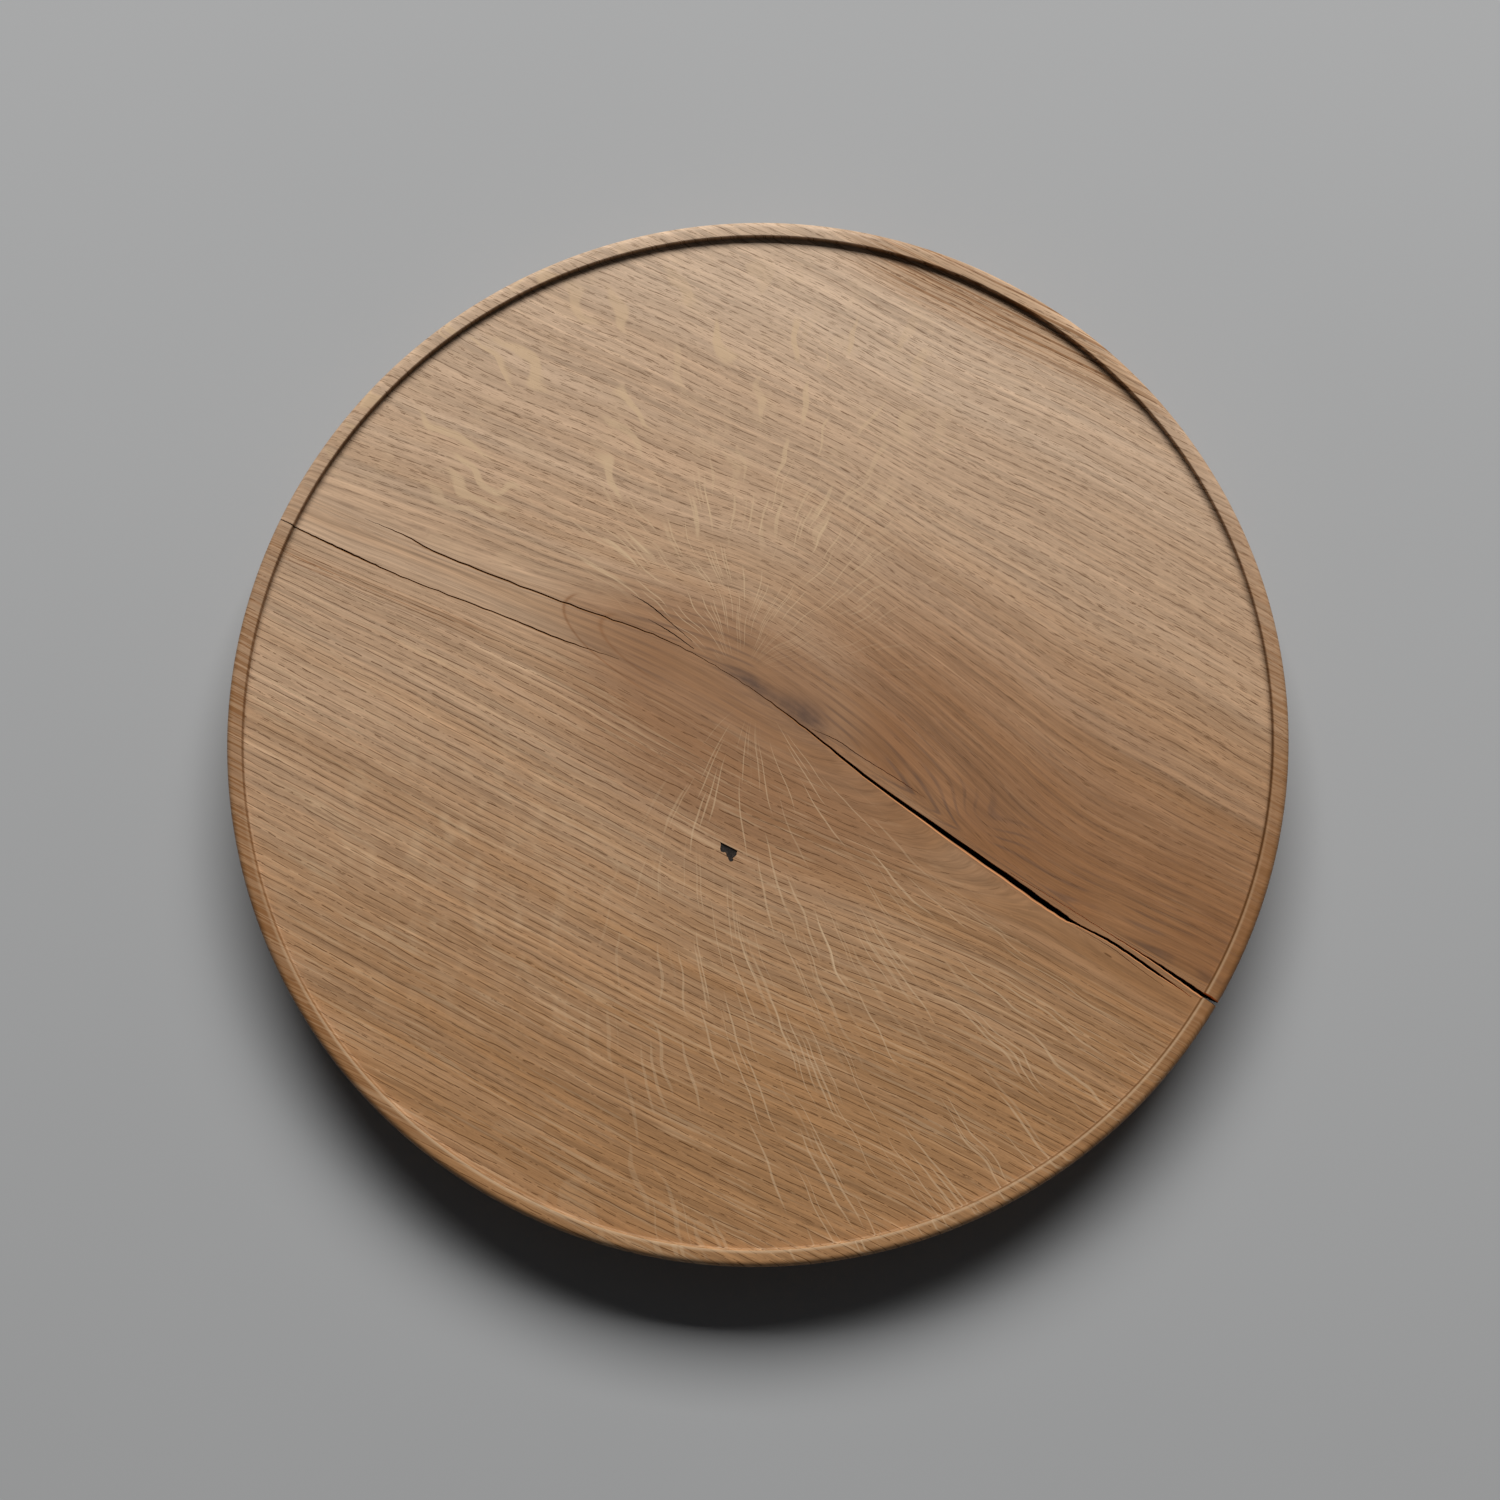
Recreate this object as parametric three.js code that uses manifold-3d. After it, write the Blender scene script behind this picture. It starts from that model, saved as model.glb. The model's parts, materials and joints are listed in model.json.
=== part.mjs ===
// Round oak tray turned from one thick plank: a raised rim, an undercut edge for the fingers, a natural
// split that runs from rim to rim, butterfly keys that tie the split from below, and four screwed feet.
// Millimetres, +Z up. The origin is on the table, under the tray's centre.

import * as THREE from 'three';
import { mergeVertices } from 'three/addons/utils/BufferGeometryUtils.js';
import Module from 'manifold-3d';

const wasm = await Module();
wasm.setup();

// Turned body
const TRAY_RADIUS = 200;
const RIM_WIDTH = 6;
const RIM_DEPTH = 3;
const FLOOR_THICKNESS = 22;
const RIM_OUTER_ROUND = 2.5;
const RIM_INNER_ROUND = 0.5;
const FLOOR_COVE = 0.8;
const EDGE_BAND = 2;
const UNDERCUT_REACH = 28;
const UNDERCUT_BULGE = 6;
const TURNING_STEPS = 96;
const ROUND_STEPS = 3;
const UNDERCUT_STEPS = 6;

// Natural split: courses drawn on a disc of radius one, as [x, y, gap in millimetres]
const MAIN_SPLIT = [
  [-0.75, 0.412, 0.25], [-0.595, 0.337, 0.6], [-0.37, 0.246, 0.6], [-0.18, 0.174, 0.5],
  [-0.043, 0.098, 0.6], [0.085, 0.005, 0.65], [0.235, -0.116, 0.9], [0.465, -0.283, 1.8],
  [0.565, -0.355, 1.4], [0.6, -0.377, 0.6], [0.665, -0.412, 0.5], [0.74, -0.465, 0.45],
  [0.805, -0.512, 0.3],
];
const WEST_SPLIT = [
  [-0.257, 0.132, 0.25], [-0.37, 0.172, 0.45], [-0.474, 0.216, 0.6], [-0.665, 0.292, 0.6],
  [-0.777, 0.344, 0.65], [-0.915, 0.411, 0.6],
];
const EAST_SPLIT = [
  [0.567, -0.336, 0.35], [0.66, -0.396, 0.4], [0.744, -0.45, 0.7], [0.803, -0.491, 1.1],
  [0.85, -0.524, 1.2],
];
const SPLIT_STEPS_PER_SPAN = 4;

// Knot pocket and its dark filling: place on a disc of radius one, outline in millimetres about it
const KNOT_PLACE = [-0.048, -0.238];
const KNOT_OUTLINE = [
  [-3.6, 4.0], [3.3, 0.4], [2.0, -2.5], [0.6, -4.0], [-0.8, -1.9], [-1.4, -0.3], [-3.0, 0.1],
];
const KNOT_DEPTH = 5;
const KNOT_RECESS = 0.4;

// Butterfly keys, let into the underside across the split, at these shares of its course
const KEY_PLACES = { west: 0.22, middle: 0.46, east: 0.64 };
const KEY_LENGTH = 52;
const KEY_END_WIDTH = 22;
const KEY_WAIST = 12;
const KEY_THICKNESS = 9;

// Rubber feet
const FOOT_COUNT = 4;
const FOOT_FIRST_ANGLE = 15;
const FOOT_EDGE_INSET = 22;
const FOOT_RADIUS = 12.5;
const FOOT_HEIGHT = 7;
const FOOT_DRAFT = 1;
const FOOT_ROUND = 1.2;
const COUNTERBORE_DEPTH = 4.5;
const FOOT_STEPS = 32;

// Steel washers and wood screws that hold the feet
const WASHER_RADIUS = 5;
const WASHER_THICKNESS = 1;
const SCREW_LENGTH = 16;
const SCREW_SHANK_RADIUS = 1.75;
const SCREW_POINT = 4;
const SCREW_HEAD_RADIUS = 3.6;
const SCREW_HEAD_HEIGHT = 2.2;
const SCREW_HEAD_BAND = 0.6;
const DRIVE_LENGTH = 4;
const DRIVE_WIDTH = 0.9;
const DRIVE_DEPTH = 1.2;
const SCREW_STEPS = 16;

// Fits
const JOINERY_GAP = 0.3;
const HARDWARE_GAP = 0.5;
const CUT_OVERRUN = 2;

// Heights above the table
const UNDERSIDE_Z = FOOT_HEIGHT;
const FLOOR_Z = UNDERSIDE_Z + FLOOR_THICKNESS;
const RIM_Z = FLOOR_Z + RIM_DEPTH;
const WASHER_SEAT_Z = COUNTERBORE_DEPTH;
const HEAD_SEAT_Z = WASHER_SEAT_Z - WASHER_THICKNESS;
const BASE_RADIUS = TRAY_RADIUS - UNDERCUT_REACH;
const FOOT_CIRCLE_RADIUS = BASE_RADIUS - FOOT_EDGE_INSET - FOOT_RADIUS;

// Makes a solid of a closed geometry, with its shared corners merged and its empty faces dropped.
function solidOf(geometry) {
  const bare = geometry.clone();
  bare.deleteAttribute('normal');
  bare.deleteAttribute('uv');
  const merged = mergeVertices(bare);
  const corners = merged.index.array;
  const faces = [];
  for (let i = 0; i < corners.length; i += 3) {
    const [a, b, c] = corners.slice(i, i + 3);
    if (a !== b && b !== c && c !== a) {
      faces.push(a, b, c);
    }
  }
  const mesh = new wasm.Mesh({
    numProp: 3,
    vertProperties: new Float32Array(merged.attributes.position.array),
    triVerts: new Uint32Array(faces),
  });
  return new wasm.Manifold(mesh);
}

function geometryOf(solid) {
  const mesh = solid.getMesh();
  const geometry = new THREE.BufferGeometry();
  geometry.setAttribute('position', new THREE.BufferAttribute(mesh.vertProperties, 3));
  geometry.setIndex(new THREE.BufferAttribute(mesh.triVerts, 1));
  geometry.computeVertexNormals();
  return geometry;
}

// Points on a round corner of a turned profile, as [radius, height].
function arc(centreRadius, centreHeight, radius, from, to) {
  const curve = new THREE.EllipseCurve(centreRadius, centreHeight, radius, radius, from, to, to < from);
  return curve.getPoints(ROUND_STEPS).map((point) => [point.x, point.y]);
}

// Turns a profile of [radius, height] points about the Z axis.
function turned(points, steps) {
  const profile = points.map(([radius, height]) => new THREE.Vector2(radius, height));
  return new THREE.LatheGeometry(profile, steps).rotateX(Math.PI / 2);
}

// A flat outline, extruded upwards from one height to another.
function prism(points, bottom, top) {
  const outline = new THREE.Shape(points.map(([x, y]) => new THREE.Vector2(x, y)));
  const options = { depth: top - bottom, bevelEnabled: false };
  return new THREE.ExtrudeGeometry(outline, options).translate(0, 0, bottom);
}

function finish(colour, roughness, metalness) {
  return new THREE.MeshStandardMaterial({ color: colour, roughness, metalness });
}

function piece(name, geometry, material) {
  const mesh = new THREE.Mesh(geometry, material);
  mesh.name = name;
  return mesh;
}

// The turned section, from the middle of the underside, round the edge and rim, to the middle of the floor.
function bodyProfile() {
  const wellRadius = TRAY_RADIUS - RIM_WIDTH;
  const bandTop = RIM_Z - RIM_OUTER_ROUND;
  const bandBottom = bandTop - EDGE_BAND;
  const bulge = new THREE.Vector2(bandBottom - UNDERSIDE_Z, -UNDERCUT_REACH).setLength(UNDERCUT_BULGE);
  const bendRadius = (BASE_RADIUS + TRAY_RADIUS) / 2 + bulge.x;
  const bendHeight = (UNDERSIDE_Z + bandBottom) / 2 + bulge.y;
  const undercut = new THREE.QuadraticBezierCurve(
    new THREE.Vector2(BASE_RADIUS, UNDERSIDE_Z),
    new THREE.Vector2(bendRadius, bendHeight),
    new THREE.Vector2(TRAY_RADIUS, bandBottom),
  );
  const innerRound = [wellRadius + RIM_INNER_ROUND, RIM_Z - RIM_INNER_ROUND, RIM_INNER_ROUND];
  return [
    [0, UNDERSIDE_Z],
    ...undercut.getPoints(UNDERCUT_STEPS).map((point) => [point.x, point.y]),
    ...arc(TRAY_RADIUS - RIM_OUTER_ROUND, bandTop, RIM_OUTER_ROUND, 0, Math.PI / 2),
    ...arc(...innerRound, Math.PI / 2, Math.PI),
    ...arc(wellRadius - FLOOR_COVE, FLOOR_Z + FLOOR_COVE, FLOOR_COVE, 0, -Math.PI / 2),
    [0, FLOOR_Z],
  ];
}

// A split's course, with the gap at each place carried as the curve's third coordinate.
function splitCourse(course) {
  const points = course.map(([x, y, gap]) => new THREE.Vector3(x * TRAY_RADIUS, y * TRAY_RADIUS, gap));
  return new THREE.CatmullRomCurve3(points);
}

// The wood that is missing along a split: a sliver of varying width, right through the plank.
function splitCut(course) {
  const curve = splitCourse(course);
  const steps = (course.length - 1) * SPLIT_STEPS_PER_SPAN;
  const leftSide = [];
  const rightSide = [];
  for (let step = 0; step <= steps; step += 1) {
    const place = curve.getPoint(step / steps);
    const heading = curve.getTangent(step / steps).setZ(0).normalize();
    const reach = place.z / 2;
    leftSide.push([place.x - heading.y * reach, place.y + heading.x * reach]);
    rightSide.push([place.x + heading.y * reach, place.y - heading.x * reach]);
  }
  const outline = [...rightSide, ...leftSide.reverse()];
  return solidOf(prism(outline, UNDERSIDE_Z - CUT_OVERRUN, RIM_Z + CUT_OVERRUN));
}

// A split that leaves through the rim runs straight on from its last two places until it is clear of the edge.
function runOut(course) {
  const [beforeX, beforeY] = course.at(-2);
  const [lastX, lastY, gap] = course.at(-1);
  const heading = new THREE.Vector2(lastX - beforeX, lastY - beforeY).normalize();
  const reach = CUT_OVERRUN / TRAY_RADIUS + Math.max(0, 1 - Math.hypot(lastX, lastY));
  return [...course, [lastX + heading.x * reach, lastY + heading.y * reach, gap]];
}

// Butterfly outline lying across the split at a share of its course, grown by a gap on every side.
function keyOutline(share, gap) {
  const curve = splitCourse(MAIN_SPLIT);
  const place = curve.getPoint(share);
  const heading = curve.getTangent(share);
  const across = Math.atan2(heading.y, heading.x) + Math.PI / 2;
  const end = KEY_LENGTH / 2 + gap;
  const flare = KEY_END_WIDTH / 2 + gap;
  const waist = KEY_WAIST / 2 + gap;
  const corners = [[-end, -flare], [0, -waist], [end, -flare], [end, flare], [0, waist], [-end, flare]];
  return corners.map(([x, y]) => [
    place.x + x * Math.cos(across) - y * Math.sin(across),
    place.y + x * Math.sin(across) + y * Math.cos(across),
  ]);
}

// Knot outline on the tray, drawn in by a gap towards its own middle.
function knotOutline(gap) {
  const [placeX, placeY] = KNOT_PLACE;
  return KNOT_OUTLINE.map(([x, y]) => {
    const inward = 1 - gap / Math.hypot(x, y);
    return [placeX * TRAY_RADIUS + x * inward, placeY * TRAY_RADIUS + y * inward];
  });
}

function footPlaces() {
  const places = [];
  for (let index = 0; index < FOOT_COUNT; index += 1) {
    const angle = THREE.MathUtils.degToRad(FOOT_FIRST_ANGLE + (index * 360) / FOOT_COUNT);
    places.push([FOOT_CIRCLE_RADIUS * Math.cos(angle), FOOT_CIRCLE_RADIUS * Math.sin(angle)]);
  }
  return places;
}

// Turned body with its split, knot pocket, key sockets and pilot holes
function trayBody() {
  let body = solidOf(turned(bodyProfile(), TURNING_STEPS));
  for (const course of [MAIN_SPLIT, runOut(WEST_SPLIT), runOut(EAST_SPLIT)]) {
    body = body.subtract(splitCut(course));
  }
  body = body.subtract(solidOf(prism(knotOutline(0), FLOOR_Z - KNOT_DEPTH, FLOOR_Z + CUT_OVERRUN)));
  const socketTop = UNDERSIDE_Z + KEY_THICKNESS + JOINERY_GAP;
  for (const share of Object.values(KEY_PLACES)) {
    const outline = keyOutline(share, JOINERY_GAP);
    body = body.subtract(solidOf(prism(outline, UNDERSIDE_Z - CUT_OVERRUN, socketTop)));
  }
  const pilotRadius = SCREW_SHANK_RADIUS + JOINERY_GAP;
  const pilotTop = HEAD_SEAT_Z + SCREW_LENGTH + HARDWARE_GAP;
  const pilotHeight = pilotTop - UNDERSIDE_Z + CUT_OVERRUN;
  for (const [x, y] of footPlaces()) {
    const pilot = new THREE.CylinderGeometry(pilotRadius, pilotRadius, pilotHeight, SCREW_STEPS);
    pilot.rotateX(Math.PI / 2).translate(x, y, pilotTop - pilotHeight / 2);
    body = body.subtract(solidOf(pilot));
  }
  return piece('tray_body', geometryOf(body), finish(0xa9835d, 0.62, 0));
}

// Dark filling that stops the knot hole, a little below the floor
function knotFill() {
  const bottom = FLOOR_Z - KNOT_DEPTH + JOINERY_GAP;
  const filling = prism(knotOutline(JOINERY_GAP), bottom, FLOOR_Z - KNOT_RECESS);
  return piece('knot_fill', filling, finish(0x3a352f, 0.5, 0));
}

// Keys that lie flush with the underside
function splitKey(name, share) {
  const key = prism(keyOutline(share, 0), UNDERSIDE_Z, UNDERSIDE_Z + KEY_THICKNESS);
  return piece(`split_key_${name}`, key, finish(0x8d6a47, 0.6, 0));
}

// Foot: a drafted rubber ring with a counterbore for the washer and the screw's head
function footGeometry() {
  const holeRadius = SCREW_SHANK_RADIUS + HARDWARE_GAP;
  const boreRadius = WASHER_RADIUS + HARDWARE_GAP;
  const soleRadius = FOOT_RADIUS - FOOT_DRAFT;
  return turned([
    [boreRadius, 0],
    ...arc(soleRadius - FOOT_ROUND, FOOT_ROUND, FOOT_ROUND, -Math.PI / 2, 0),
    [FOOT_RADIUS, FOOT_HEIGHT],
    [holeRadius, FOOT_HEIGHT],
    [holeRadius, WASHER_SEAT_Z],
    [boreRadius, WASHER_SEAT_Z],
    [boreRadius, 0],
  ], FOOT_STEPS);
}

function washerGeometry() {
  const holeRadius = SCREW_SHANK_RADIUS + JOINERY_GAP;
  return turned([
    [holeRadius, HEAD_SEAT_Z],
    [WASHER_RADIUS, HEAD_SEAT_Z],
    [WASHER_RADIUS, WASHER_SEAT_Z],
    [holeRadius, WASHER_SEAT_Z],
    [holeRadius, HEAD_SEAT_Z],
  ], FOOT_STEPS);
}

// Pan-head wood screw, head down, with a cross recess
function screwGeometry() {
  const headBottom = HEAD_SEAT_Z - SCREW_HEAD_HEIGHT;
  const tip = HEAD_SEAT_Z + SCREW_LENGTH;
  const headRound = SCREW_HEAD_HEIGHT - SCREW_HEAD_BAND;
  const blank = turned([
    [0, headBottom],
    ...arc(SCREW_HEAD_RADIUS - headRound, HEAD_SEAT_Z - SCREW_HEAD_BAND, headRound, -Math.PI / 2, 0),
    [SCREW_HEAD_RADIUS, HEAD_SEAT_Z],
    [SCREW_SHANK_RADIUS, HEAD_SEAT_Z],
    [SCREW_SHANK_RADIUS, tip - SCREW_POINT],
    [0, tip],
  ], SCREW_STEPS);
  const recessTop = headBottom + DRIVE_DEPTH;
  const recessHeight = DRIVE_DEPTH + CUT_OVERRUN;
  const slot = new THREE.BoxGeometry(DRIVE_LENGTH, DRIVE_WIDTH, recessHeight);
  slot.translate(0, 0, recessTop - recessHeight / 2);
  const cross = solidOf(slot).add(solidOf(slot.clone().rotateZ(Math.PI / 2)));
  return geometryOf(solidOf(blank).subtract(cross));
}

// One foot with its washer and screw, standing at its place under the body
function footSet(index, [x, y]) {
  const set = new THREE.Group();
  const number = index + 1;
  set.add(piece(`foot_${number}`, footGeometry(), finish(0x2b2b2c, 0.85, 0)));
  set.add(piece(`foot_washer_${number}`, washerGeometry(), finish(0xb9bbbd, 0.35, 1)));
  set.add(piece(`foot_screw_${number}`, screwGeometry(), finish(0xa8abae, 0.3, 1)));
  set.position.set(x, y, 0);
  return set;
}

const tray = new THREE.Group();
tray.add(trayBody());
tray.add(knotFill());
for (const [name, share] of Object.entries(KEY_PLACES)) {
  tray.add(splitKey(name, share));
}
for (const [index, place] of footPlaces().entries()) {
  tray.add(footSet(index, place));
}

export default tray;
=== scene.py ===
# Round oak tray: a turned body with a natural split, a filled knot, butterfly keys and screwed rubber feet.
import json
import math

import bmesh
import bpy
from bpy.props import FloatProperty, FloatVectorProperty, IntProperty, PointerProperty
from mathutils import Matrix, Vector


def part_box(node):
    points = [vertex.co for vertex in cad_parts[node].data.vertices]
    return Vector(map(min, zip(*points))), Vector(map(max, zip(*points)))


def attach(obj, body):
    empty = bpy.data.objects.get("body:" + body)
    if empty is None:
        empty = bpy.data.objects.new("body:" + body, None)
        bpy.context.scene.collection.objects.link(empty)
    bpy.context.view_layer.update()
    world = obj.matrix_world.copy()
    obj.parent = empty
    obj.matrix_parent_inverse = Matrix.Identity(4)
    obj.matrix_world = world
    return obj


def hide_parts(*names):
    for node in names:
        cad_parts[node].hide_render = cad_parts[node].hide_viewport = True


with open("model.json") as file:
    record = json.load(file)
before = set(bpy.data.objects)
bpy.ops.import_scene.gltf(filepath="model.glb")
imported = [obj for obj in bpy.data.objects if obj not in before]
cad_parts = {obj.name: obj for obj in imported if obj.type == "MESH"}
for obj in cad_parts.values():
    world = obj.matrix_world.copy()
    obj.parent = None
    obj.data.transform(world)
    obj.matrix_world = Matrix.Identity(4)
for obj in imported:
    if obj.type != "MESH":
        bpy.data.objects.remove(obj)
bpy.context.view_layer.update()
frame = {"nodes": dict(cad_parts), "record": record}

bl_info = {
    "name": "Round Oak Tray",
    "version": (1, 0, 0),
    "blender": (4, 5, 0),
    "location": "View3D > Sidebar > Oak Tray",
    "description": "Builds a round turned oak tray with a natural split around its packed frame",
    "category": "Object",
}

BODY_LOW, BODY_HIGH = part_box("tray_body")
FLOOR_HEIGHT = next(m["pos_m"][2] for m in frame["record"]["mounts"] if m["name"] == "tray_floor")
FOOT_NUMBERS = (1, 2, 3, 4)
KEY_NAMES = ("west", "middle", "east")
BODY = "root"
MILLIMETRE = 0.001
TINY = 1e-6
FULL_TURN = 2 * math.pi

# Where the heart of the tree comes up through the floor
HEART_PLACE = (0.0022, 0.0139)

# The split's courses, on a disc of radius one, as (x, y, gap in millimetres)
MAIN_SPLIT = (
    (-0.75, 0.412, 0.1), (-0.67, 0.377, 0.45), (-0.595, 0.337, 0.55), (-0.37, 0.246, 0.55),
    (-0.18, 0.174, 0.44), (-0.043, 0.098, 0.25), (0.085, 0.005, 0.6), (0.235, -0.116, 0.95),
    (0.465, -0.283, 1.7), (0.565, -0.355, 1.5), (0.6, -0.377, 0.75), (0.665, -0.412, 0.85),
    (0.74, -0.465, 0.8), (0.805, -0.512, 0.2),
)
WEST_SPLIT = (
    (-0.257, 0.132, 0.1), (-0.37, 0.172, 0.52), (-0.474, 0.216, 0.5), (-0.665, 0.292, 0.46),
    (-0.777, 0.344, 0.62), (-0.87, 0.389, 0.5), (-0.915, 0.411, 0.3), (-0.93, 0.418, 0.28),
)
EAST_SPLIT = (
    (0.475, -0.279, 0.15), (0.567, -0.336, 0.25), (0.66, -0.396, 0.35), (0.744, -0.45, 0.75),
    (0.803, -0.491, 1.15), (0.85, -0.524, 1.2), (0.87, -0.538, 1.2),
)
HAIR_SPLITS = (
    ((0.108, -0.005, 0.1), (0.157, -0.028, 0.3), (0.198, -0.057, 0.28), (0.273, -0.105, 0.25),
     (0.32, -0.138, 0.08)),
    ((-0.236, 0.259, 0.1), (-0.2, 0.237, 0.4), (-0.159, 0.202, 0.3), (-0.118, 0.165, 0.15)),
    ((-0.203, 0.21, 0.1), (-0.161, 0.185, 0.4), (-0.115, 0.151, 0.25)),
    ((0.595, -0.381, 0.1), (0.66, -0.42, 0.2), (0.705, -0.455, 0.2), (0.755, -0.492, 0.08)),
)

# Steps in each span of a course, and the least gap in millimetres
SPLIT_STEPS, LEAST_GAP = 12, 0.06

# Sizes in metres that the frame doesn't give
CUT_OVERRUN = 0.002
EDGE_EASE = 0.002
BAND_EASE = 0.0015
KEY_EASE = 0.0002
PILOT_RADIUS = 0.0019
PILOT_OVERRUN = 0.0025
PILOT_ROOM = 0.0005
FOOT_HOLE = 0.00225
FOOT_TAPER = 0.001
WASHER_ROOM = 0.0005
SOLE_ROUND = 0.0014
BORE_ROUND = 0.0004
SMALL_EASE = 0.0003
WASHER_HOLE = 0.0021
WASHER_EASE = 0.00018
SHANK_RADIUS = 0.00175
SCREW_POINT = 0.004
HEAD_ROUND = 0.0015
RECESS_SIZE = (0.004, 0.0009, 0.0024)
KNOT_INSET, KNOT_SINK = 0.0006, 0.00015
STAGE_RADIUS = 3.1

# Steps round the turned feet and washers, and round the screws
FITTING_STEPS, SCREW_STEPS = 64, 48

# Edges that turn by more degrees than this stay crisp
BODY_CRISP, INLAY_CRISP, FITTING_CRISP = 28, 40, 35


class TrayShape(bpy.types.PropertyGroup):
    """Sizes of the turned body and of what is let into it."""

    radius: FloatProperty(
        name="Radius", description="Outer radius of the rim", default=BODY_HIGH.x, unit="LENGTH")
    underside: FloatProperty(
        name="Underside", description="Height of the flat underside above the table",
        default=BODY_LOW.z, unit="LENGTH")
    floor: FloatProperty(
        name="Floor", description="Height of the tray's floor above the table",
        default=FLOOR_HEIGHT, unit="LENGTH")
    rim_top: FloatProperty(
        name="Rim top", description="Height of the rim above the table", default=BODY_HIGH.z, unit="LENGTH")
    rim_width: FloatProperty(
        name="Rim width", description="Width of the raised rim", default=0.006, unit="LENGTH")
    rim_round: FloatProperty(
        name="Rim round", description="Rounding of the rim's outer edge", default=0.0025, unit="LENGTH")
    rim_ease: FloatProperty(
        name="Rim ease", description="Rounding of the rim's inner edge", default=0.0005, unit="LENGTH")
    cove: FloatProperty(
        name="Cove", description="Hollow between floor and rim", default=0.0008, unit="LENGTH")
    band: FloatProperty(
        name="Edge band", description="Upright part of the edge below the rim's rounding",
        default=0.002, unit="LENGTH")
    undercut: FloatProperty(
        name="Undercut", description="How far the underside is turned in from the edge",
        default=0.028, unit="LENGTH")
    bulge: FloatProperty(
        name="Undercut bulge", description="How far the undercut swells outwards",
        default=0.006, unit="LENGTH")
    turning_steps: IntProperty(
        name="Turning steps", description="Steps round the turned body", default=288, min=64)
    lip: FloatProperty(
        name="Split lip", description="Wear along the edges of the split", default=0.00042, unit="LENGTH")
    glue_line: FloatProperty(
        name="Glue line", description="Gap round the keys and the knot filling",
        default=0.0001, unit="LENGTH")


class OakFinish(bpy.types.PropertyGroup):
    """Colours and figure of the oak."""

    # The pale end is reached on the far side, so it carries a painted sheen of the window as well as the
    # sapwood's own tone
    pale: FloatVectorProperty(
        name="Pale wood", description="Palest sapwood tone", subtype="COLOR", size=4, min=0, max=1,
        default=(0.60, 0.437, 0.305, 1))
    tan: FloatVectorProperty(
        name="Tan wood", description="Middle tone of the wood", subtype="COLOR", size=4, min=0, max=1,
        default=(0.39, 0.210, 0.094, 1))
    heart: FloatVectorProperty(
        name="Heart wood", description="Reddish brown of the heart", subtype="COLOR", size=4, min=0, max=1,
        default=(0.25, 0.108, 0.040, 1))
    # The streak colour also darkens the rim's east and west sides
    streak: FloatVectorProperty(
        name="Streaks", description="Orange brown of the streaks and of the oiled rim", subtype="COLOR",
        size=4, min=0, max=1, default=(0.27, 0.125, 0.045, 1))
    pore: FloatVectorProperty(
        name="Pores", description="Dark brown of the open pores", subtype="COLOR", size=4, min=0, max=1,
        default=(0.105, 0.040, 0.006, 1))
    ray: FloatVectorProperty(
        name="Rays", description="Pale silvery tone of the rays", subtype="COLOR", size=4, min=0, max=1,
        default=(0.64, 0.458, 0.285, 1))
    stain: FloatVectorProperty(
        name="Stain", description="Grey brown by the heart and in the rings round it", subtype="COLOR",
        size=4, min=0, max=1, default=(0.13, 0.075, 0.05, 1))
    gold: FloatVectorProperty(
        name="Golden wood", description="Colour of the patch by the far rim", subtype="COLOR",
        size=4, min=0, max=1, default=(0.42, 0.22, 0.085, 1))
    # Partly the torn wood's colour and partly a painted highlight on the split's upper edges
    lip: FloatVectorProperty(
        name="Split lip", description="Orange brown of the split's worn edges", subtype="COLOR",
        size=4, min=0, max=1, default=(0.66, 0.30, 0.13, 1))
    grain_angle: FloatProperty(
        name="Grain angle", description="Turn of the grain from the X axis", default=math.radians(-28),
        subtype="ANGLE")
    pith_slope: FloatProperty(
        name="Pith slope", description="How fast the tree's heart dives below the floor", default=0.17)
    pith_depth: FloatProperty(
        name="Pith depth", description="Depth in millimetres at which the heart levels out", default=12.5)
    ring_pitch: FloatProperty(
        name="Ring pitch", description="Width of a growth ring in millimetres", default=2.9)


class StageLook(bpy.types.PropertyGroup):
    """Camera, light and floor."""

    aim: FloatVectorProperty(
        name="Aim", description="Point that the camera looks at", subtype="TRANSLATION", size=3,
        default=(-0.00174, -0.00908, 0.030))
    distance: FloatProperty(
        name="Camera distance", description="From the aim point", default=1.0, unit="LENGTH")
    elevation: FloatProperty(
        name="Camera elevation", description="Above the horizon", default=math.radians(79.53),
        subtype="ANGLE")
    azimuth: FloatProperty(
        name="Camera azimuth", description="Round the tray from its front", default=math.radians(9.69),
        subtype="ANGLE")
    lens: FloatProperty(name="Lens", description="Focal length in millimetres", default=63.8)
    floor_colour: FloatVectorProperty(
        name="Floor colour", description="Pale plain floor", subtype="COLOR", size=4, min=0, max=1,
        default=(0.428, 0.442, 0.455, 1))
    window_distance: FloatProperty(
        name="Window distance", description="From the tray to the soft main light",
        default=4.5, unit="LENGTH")
    window_elevation: FloatProperty(
        name="Window elevation", description="Above the horizon", default=math.radians(43), subtype="ANGLE")
    window_azimuth: FloatProperty(
        name="Window azimuth", description="Round the tray from its far side", default=math.radians(6),
        subtype="ANGLE")
    window_size: FloatVectorProperty(
        name="Window size", description="Width and height of the soft main light", subtype="XYZ_LENGTH",
        size=2, default=(4.0, 1.9))
    window_power: FloatProperty(
        name="Window power", description="Strength of the soft main light in watts", default=264.0)
    fill_strength: FloatProperty(
        name="Fill strength", description="Strength of the light from all round", default=0.036)


# Shader values

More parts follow.
